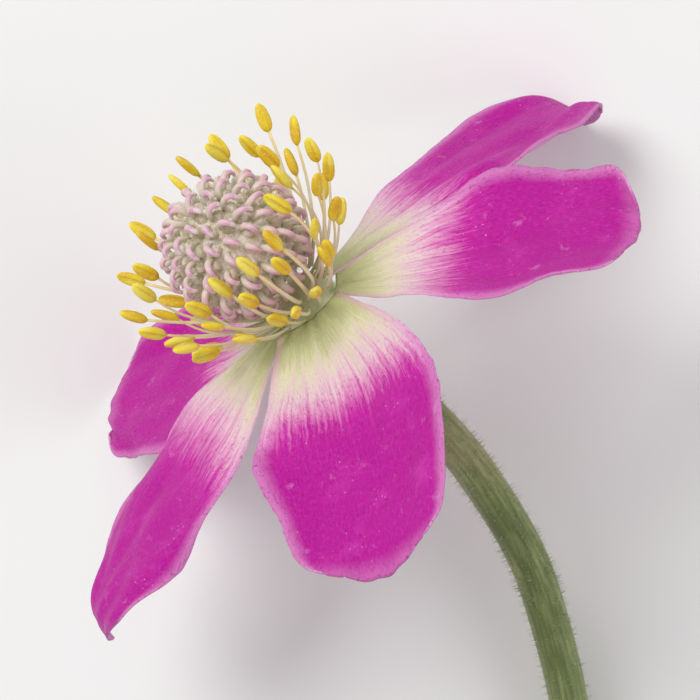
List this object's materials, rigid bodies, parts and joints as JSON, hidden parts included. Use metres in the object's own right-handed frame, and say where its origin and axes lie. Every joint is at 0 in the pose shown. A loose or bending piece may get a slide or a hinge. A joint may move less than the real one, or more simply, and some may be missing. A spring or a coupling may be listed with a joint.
{
  "type": "anemone flower",
  "caption": "Cut anemone flower lying on its side: magenta tepals around a ball of hooked carpels ringed by yellow stamens, on a bent downy stem.",
  "frame": {"origin": "centre of the bounding box's underside, on the surface that the flower lies on", "axes": "+Y from the stem's cut end towards the flower, the longest extent; +Z up; +X to the right when seen from above with +Y up"},
  "size_m": [0.0302, 0.0612, 0.0316],
  "materials": {
    "stem_green": "downy, matt",
    "tepal_magenta": "velvety, satin",
    "carpel_mauve": "waxy styles over woolly ovaries",
    "anther_yellow": "powdery, matt"
  },
  "bodies": {
    "root": {"stem": "stem_green", "carpel_head": "carpel_mauve", "tepal_near": "tepal_magenta", "tepal_right": "tepal_magenta", "tepal_back_right": "tepal_magenta", "tepal_back_left": "tepal_magenta", "tepal_left": "tepal_magenta", "stamen_01": "anther_yellow", "stamen_02": "anther_yellow", "stamen_03": "anther_yellow", "stamen_04": "anther_yellow", "stamen_05": "anther_yellow", "stamen_06": "anther_yellow", "stamen_07": "anther_yellow", "stamen_08": "anther_yellow", "stamen_09": "anther_yellow", "stamen_10": "anther_yellow", "stamen_11": "anther_yellow", "stamen_12": "anther_yellow", "stamen_13": "anther_yellow", "stamen_14": "anther_yellow", "stamen_15": "anther_yellow", "stamen_16": "anther_yellow", "stamen_17": "anther_yellow", "stamen_18": "anther_yellow", "stamen_19": "anther_yellow", "stamen_20": "anther_yellow", "stamen_21": "anther_yellow", "stamen_22": "anther_yellow", "stamen_23": "anther_yellow", "stamen_24": "anther_yellow", "stamen_25": "anther_yellow", "stamen_26": "anther_yellow", "stamen_27": "anther_yellow", "stamen_28": "anther_yellow", "stamen_29": "anther_yellow", "stamen_30": "anther_yellow", "stamen_31": "anther_yellow", "stamen_32": "anther_yellow", "stamen_33": "anther_yellow", "stamen_34": "anther_yellow", "stamen_35": "anther_yellow", "stamen_36": "anther_yellow", "stamen_37": "anther_yellow", "stamen_38": "anther_yellow", "stamen_39": "anther_yellow", "stamen_40": "anther_yellow", "stamen_41": "anther_yellow", "stamen_42": "anther_yellow", "stamen_43": "anther_yellow", "stamen_44": "anther_yellow", "stamen_45": "anther_yellow", "stamen_46": "anther_yellow", "stamen_47": "anther_yellow", "stamen_48": "anther_yellow", "stamen_49": "anther_yellow", "stamen_50": "anther_yellow", "stamen_51": "anther_yellow", "stamen_52": "anther_yellow"}
  },
  "joints": []
}
